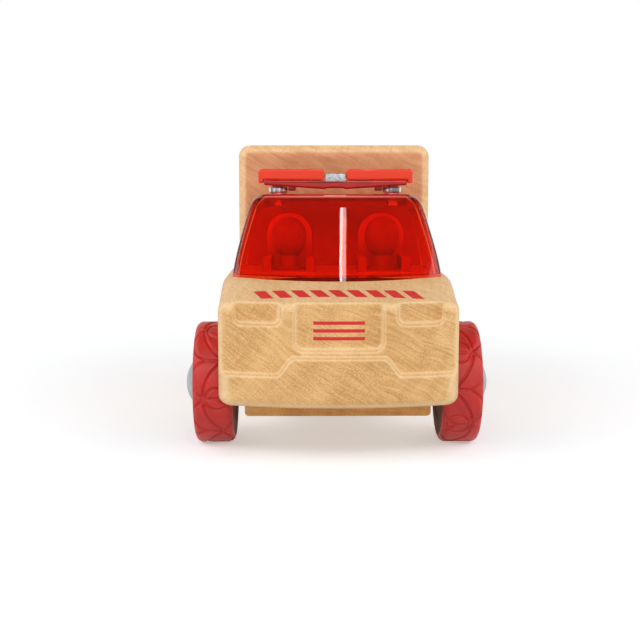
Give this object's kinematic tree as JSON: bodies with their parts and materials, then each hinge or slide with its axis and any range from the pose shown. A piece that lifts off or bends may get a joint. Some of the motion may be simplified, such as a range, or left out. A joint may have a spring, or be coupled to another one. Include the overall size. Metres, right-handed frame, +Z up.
{
  "type": "toy ambulance",
  "caption": "Hand-size wooden toy ambulance with a clear red lift-off cab canopy, a pull-off light bar and free-rolling rubber-tyred wheels.",
  "frame": {"origin": "on the ground, under the middle of the toy's length and width", "axes": "+Z up, the nose points along -Y, +X to the driver's left"},
  "size_m": [0.0632, 0.114, 0.062],
  "materials": {
    "wood_block": "sanded and oiled pale hardwood",
    "wood_plank": "sanded hardwood, a little darker",
    "steel": "plain zinc-plated",
    "clear_red": "clear red, polished",
    "cab_red": "clear red, polished",
    "plate_red": "dark red, satin",
    "lens_red": "clear orange-red",
    "silver_plastic": "silver coloured, satin",
    "bright_metal": "bright turned",
    "tyre_red": "matt red rubber with a raised leaf tread",
    "hub_grey": "warm dark grey"
  },
  "bodies": {
    "body": {"front_block": "wood_block", "rear_box": "wood_block", "chassis_plank": "wood_plank", "chassis_screws": "steel", "locating_dowels": "wood_plank", "front_axle": "steel", "rear_axle": "steel", "seat_left": "cab_red", "seat_right": "cab_red", "passenger_left": "cab_red", "passenger_right": "cab_red", "push_nut_front_left": "steel", "push_nut_front_right": "steel", "push_nut_rear_left": "steel", "push_nut_rear_right": "steel", "washer_front_left": "steel", "washer_front_right": "steel", "washer_rear_left": "steel", "washer_rear_right": "steel"},
    "cab": {"canopy": "clear_red"},
    "lightbar": {"lightbar_base": "plate_red", "lightbar_lens_left": "lens_red", "lightbar_lens_right": "lens_red", "lightbar_middle": "silver_plastic", "lightbar_foot_left": "bright_metal", "lightbar_foot_right": "bright_metal"},
    "wheel_front_left": {"tyre_front_left": "tyre_red", "hub_front_left": "hub_grey", "hubcap_front_left": "silver_plastic"},
    "wheel_front_right": {"tyre_front_right": "tyre_red", "hub_front_right": "hub_grey", "hubcap_front_right": "silver_plastic"},
    "wheel_rear_left": {"tyre_rear_left": "tyre_red", "hub_rear_left": "hub_grey", "hubcap_rear_left": "silver_plastic"},
    "wheel_rear_right": {"tyre_rear_right": "tyre_red", "hub_rear_right": "hub_grey", "hubcap_rear_right": "silver_plastic"}
  },
  "joints": [
    {"name": "wheel_front_left_spin", "type": "hinge", "parent": "body", "child": "wheel_front_left", "pos_m": [0.025, -0.035, 0.0125], "axis": [1, 0, 0], "continuous": true},
    {"name": "wheel_front_right_spin", "type": "hinge", "parent": "body", "child": "wheel_front_right", "pos_m": [-0.025, -0.035, 0.0125], "axis": [1, 0, 0], "continuous": true},
    {"name": "wheel_rear_left_spin", "type": "hinge", "parent": "body", "child": "wheel_rear_left", "pos_m": [0.025, 0.031, 0.0125], "axis": [1, 0, 0], "continuous": true},
    {"name": "wheel_rear_right_spin", "type": "hinge", "parent": "body", "child": "wheel_rear_right", "pos_m": [-0.025, 0.031, 0.0125], "axis": [1, 0, 0], "continuous": true},
    {"name": "canopy_lift", "type": "slide", "parent": "body", "child": "cab", "axis": [0, 0, 1], "range_m": [0, 0.024]},
    {"name": "lightbar_pull", "type": "slide", "parent": "cab", "child": "lightbar", "axis": [0, 0, 1], "range_m": [0, 0.008]}
  ]
}
